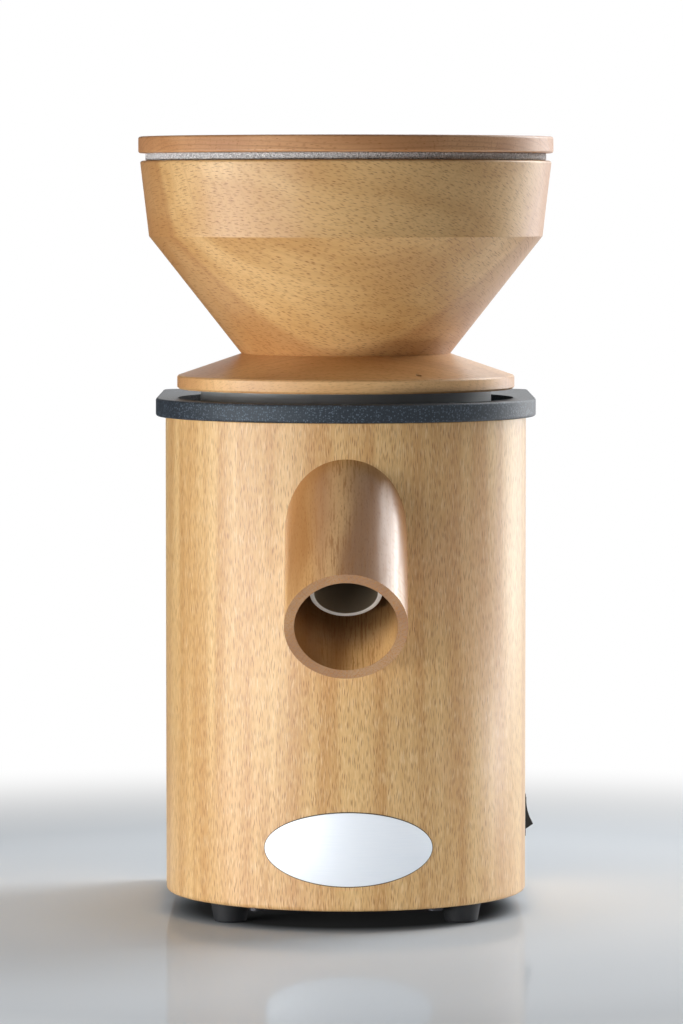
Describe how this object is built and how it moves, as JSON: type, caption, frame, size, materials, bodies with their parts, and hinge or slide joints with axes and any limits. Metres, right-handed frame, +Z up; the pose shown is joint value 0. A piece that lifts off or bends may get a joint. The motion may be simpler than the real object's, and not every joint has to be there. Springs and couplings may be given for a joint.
{
  "type": "electric grain mill",
  "caption": "Table-top electric stone mill: bent beech body, angled flour spout, dark cast deck, turned wooden hopper with a lid that screws up and down to set the grind.",
  "frame": {"origin": "under the middle of the outer box, on the surface that the feet stand on", "axes": "+Z up along the mill's axis, -Y to the front where the spout is, +X to the switch's side"},
  "size_m": [0.2124, 0.2658, 0.3968],
  "materials": {
    "beech_body": "oiled beech, upright grain",
    "beech_inner": "plain sawn beech",
    "beech_spout": "oiled beech",
    "beech_hopper": "oiled turned beech",
    "beech_lid": "oiled beech, redder",
    "deck_coat": "fine textured powder coat on cast metal",
    "sheet_coat": "satin powder coat on sheet steel",
    "cast_metal": "cast and machined",
    "collar_metal": "turned, fine satin",
    "steel": "bright zinc or stainless",
    "lamination": "stacked electrical sheet",
    "copper": "enamelled copper wire",
    "rubber": "matte moulded rubber",
    "black_plastic": "satin moulded plastic",
    "white_plastic": "satin moulded plastic",
    "badge": "satin silver with a dark edge line",
    "stone": "bonded ceramic grit",
    "felt": "mottled wool felt"
  },
  "bodies": {
    "housing": {"housing_shell": "beech_body", "corner_battens": "beech_inner", "rear_panel": "sheet_coat", "panel_screws": "steel", "base_plate": "sheet_coat", "tie_rods": "steel", "rubber_feet": "rubber", "foot_screws": "steel", "foot_nuts": "steel", "top_deck": "deck_coat", "spout_tube": "beech_spout", "spout_liner": "white_plastic", "badge_plate": "badge", "milling_chamber": "cast_metal", "outlet_socket": "cast_metal", "socket_screws": "steel", "chamber_bolts": "steel", "thread_ring": "steel", "guide_pins": "steel", "shaft_seal": "rubber", "motor_screws": "steel", "upper_end_shield": "cast_metal", "lower_end_shield": "cast_metal", "stator_core": "lamination", "field_windings": "copper", "motor_bolts": "steel", "upper_bearing": "steel", "lower_bearing": "steel", "run_capacitor": "cast_metal", "capacitor_clamp": "steel", "switch_housing": "black_plastic", "power_inlet": "black_plastic", "inlet_pins": "steel", "inlet_screws": "steel"},
    "rotor": {"motor_shaft": "steel", "rotor_core": "lamination", "rotor_end_rings": "cast_metal", "cooling_fan": "black_plastic", "fan_circlip": "steel", "lower_stone_carrier": "cast_metal", "lower_stone": "stone", "lower_stone_screws": "steel", "carrier_bolt": "steel", "wiper_blades": "steel"},
    "stone_carrier": {"upper_stone_carrier": "cast_metal", "upper_stone": "stone", "upper_stone_screws": "steel", "carrier_circlip": "steel"},
    "hopper": {"adjusting_collar": "collar_metal", "collar_screws": "steel", "hopper_base": "beech_hopper", "setting_marker": "black_plastic", "finger_guard": "steel", "hopper_bowl": "beech_hopper", "hopper_screws": "steel"},
    "lid": {"lid_board": "beech_lid", "lid_felt": "felt"},
    "rocker": {"switch_rocker": "black_plastic"}
  },
  "joints": [
    {"name": "carrier_lift", "type": "slide", "parent": "housing", "child": "stone_carrier", "axis": [0, 0, 1], "range_m": [0, 0.00226]},
    {"name": "grind_adjust", "type": "hinge", "parent": "stone_carrier", "child": "hopper", "pos_m": [0, 0.01291, 0.27], "axis": [0, 0, 1], "range_deg": [0, 270]},
    {"name": "lid_lift", "type": "slide", "parent": "hopper", "child": "lid", "axis": [0, 0, 1], "range_m": [0, 0.12]},
    {"name": "rotor_spin", "type": "hinge", "parent": "housing", "child": "rotor", "pos_m": [0, 0.01291, 0.13], "axis": [0, 0, 1], "continuous": true},
    {"name": "rocker_tilt", "type": "hinge", "parent": "housing", "child": "rocker", "pos_m": [0.0875, 0.05291, 0.044], "axis": [0, 1, 0], "range_deg": [0, 28]}
  ],
  "couplings": [
    {"joint": "carrier_lift", "follows": "grind_adjust", "m_per_rad": 0.00047746}
  ]
}
